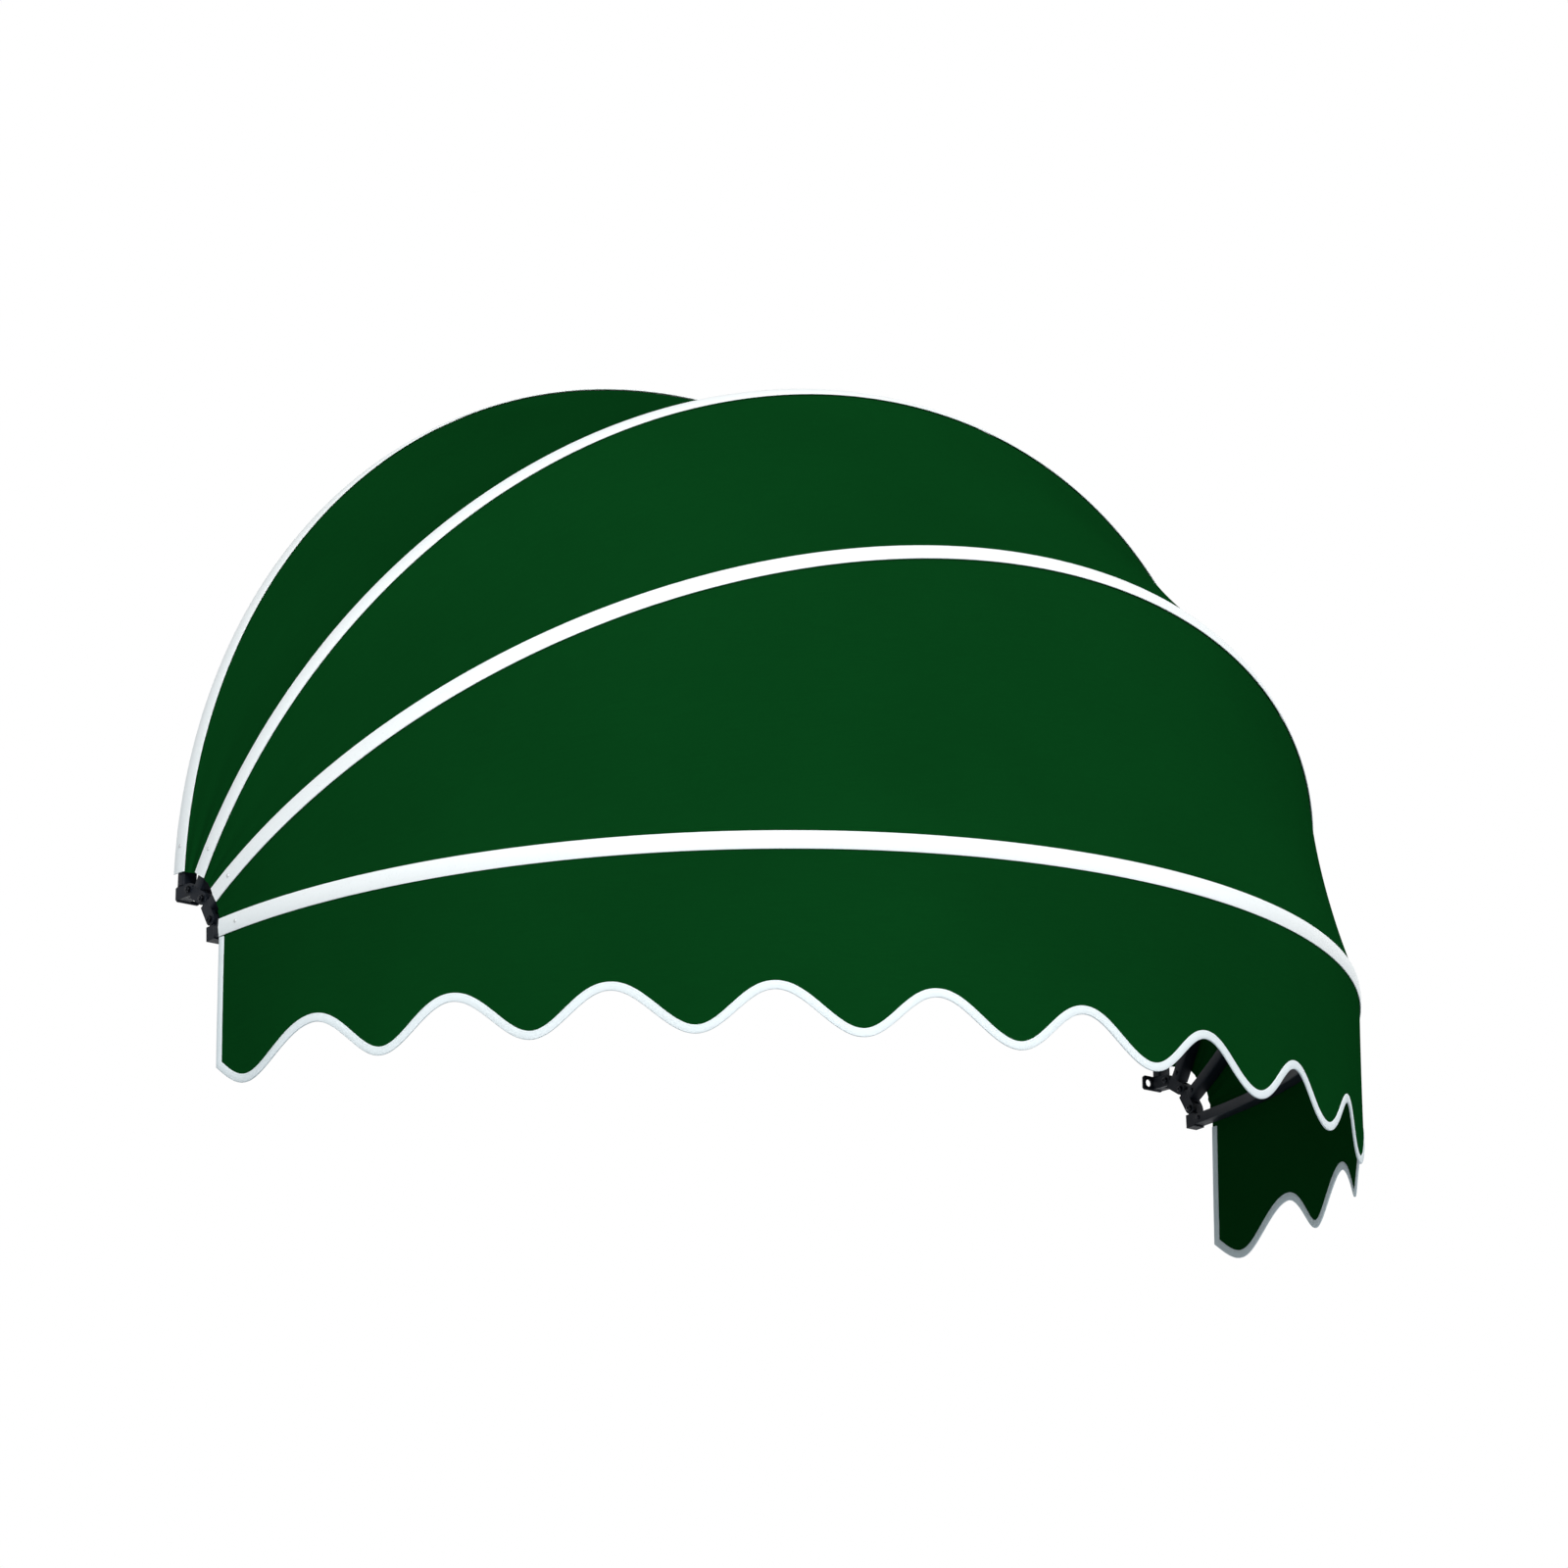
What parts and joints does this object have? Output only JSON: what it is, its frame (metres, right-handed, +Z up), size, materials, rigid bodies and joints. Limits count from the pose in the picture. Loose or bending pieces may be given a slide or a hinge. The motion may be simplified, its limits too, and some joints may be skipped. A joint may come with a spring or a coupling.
{
  "type": "window awning",
  "caption": "Folding dome awning for a window: half-round bows on hinge chains at both ends, cloth covers under clamping strips, and a scalloped valance.",
  "frame": {"origin": "on the wall plane, midway between the two wall brackets, at the height of the rearmost hinge bolts", "axes": "+X along the wall to the right as seen from outside, +Y into the wall, so the awning stands out towards -Y, and +Z up"},
  "size_m": [2.0044, 1.0971, 1.3295],
  "materials": {
    "cloth": "dark green woven canvas, matt",
    "strip": "white extruded strip, satin",
    "binding": "white woven tape, matt",
    "tube": "black powder coat on drawn tube",
    "casting": "black powder coat on castings",
    "bolt": "black oxide fasteners",
    "screw": "plated, dull"
  },
  "bodies": {
    "wall_body": {"wall_bracket_left": "casting", "wall_bracket_right": "casting", "wall_bow": "tube", "wall_strip": "strip", "wall_bow_screw_left": "bolt", "wall_bow_screw_right": "bolt", "wall_strip_screw_left": "screw", "wall_strip_screw_right": "screw", "rear_hinge_bolt_left": "bolt", "rear_hinge_bolt_right": "bolt", "rear_hinge_nut_left": "bolt", "rear_hinge_nut_right": "bolt", "rear_cover": "cloth"},
    "second_body": {"second_knuckle_left": "casting", "second_knuckle_right": "casting", "second_bow": "tube", "second_strip": "strip", "second_bow_screw_left": "bolt", "second_bow_screw_right": "bolt", "second_strip_screw_left": "screw", "second_strip_screw_right": "screw", "middle_hinge_bolt_left": "bolt", "middle_hinge_bolt_right": "bolt", "middle_hinge_nut_left": "bolt", "middle_hinge_nut_right": "bolt", "middle_cover": "cloth"},
    "third_body": {"third_knuckle_left": "casting", "third_knuckle_right": "casting", "third_bow": "tube", "third_strip": "strip", "third_bow_screw_left": "bolt", "third_bow_screw_right": "bolt", "third_strip_screw_left": "screw", "third_strip_screw_right": "screw", "front_hinge_bolt_left": "bolt", "front_hinge_bolt_right": "bolt", "front_hinge_nut_left": "bolt", "front_hinge_nut_right": "bolt", "front_cover": "cloth"},
    "front_body": {"front_knuckle_left": "casting", "front_knuckle_right": "casting", "front_bow": "tube", "front_strip": "strip", "front_bow_screw_left": "bolt", "front_bow_screw_right": "bolt", "front_strip_screw_left": "screw", "front_strip_screw_right": "screw", "valance": "cloth", "valance_binding": "binding"}
  },
  "joints": [
    {"name": "rear_hinge", "type": "hinge", "parent": "wall_body", "child": "second_body", "pos_m": [0, -0.0361, 0], "axis": [-1, 0, 0], "range_deg": [0, 30.6], "deforming": ["rear_cover"]},
    {"name": "middle_hinge", "type": "hinge", "parent": "second_body", "child": "third_body", "pos_m": [0, -0.07363, -0.02219], "axis": [-1, 0, 0], "range_deg": [0, 27.6], "deforming": ["middle_cover"]},
    {"name": "front_hinge", "type": "hinge", "parent": "third_body", "child": "front_body", "pos_m": [0, -0.0966, -0.05925], "axis": [-1, 0, 0], "range_deg": [0, 28.8], "deforming": ["front_cover"]}
  ]
}
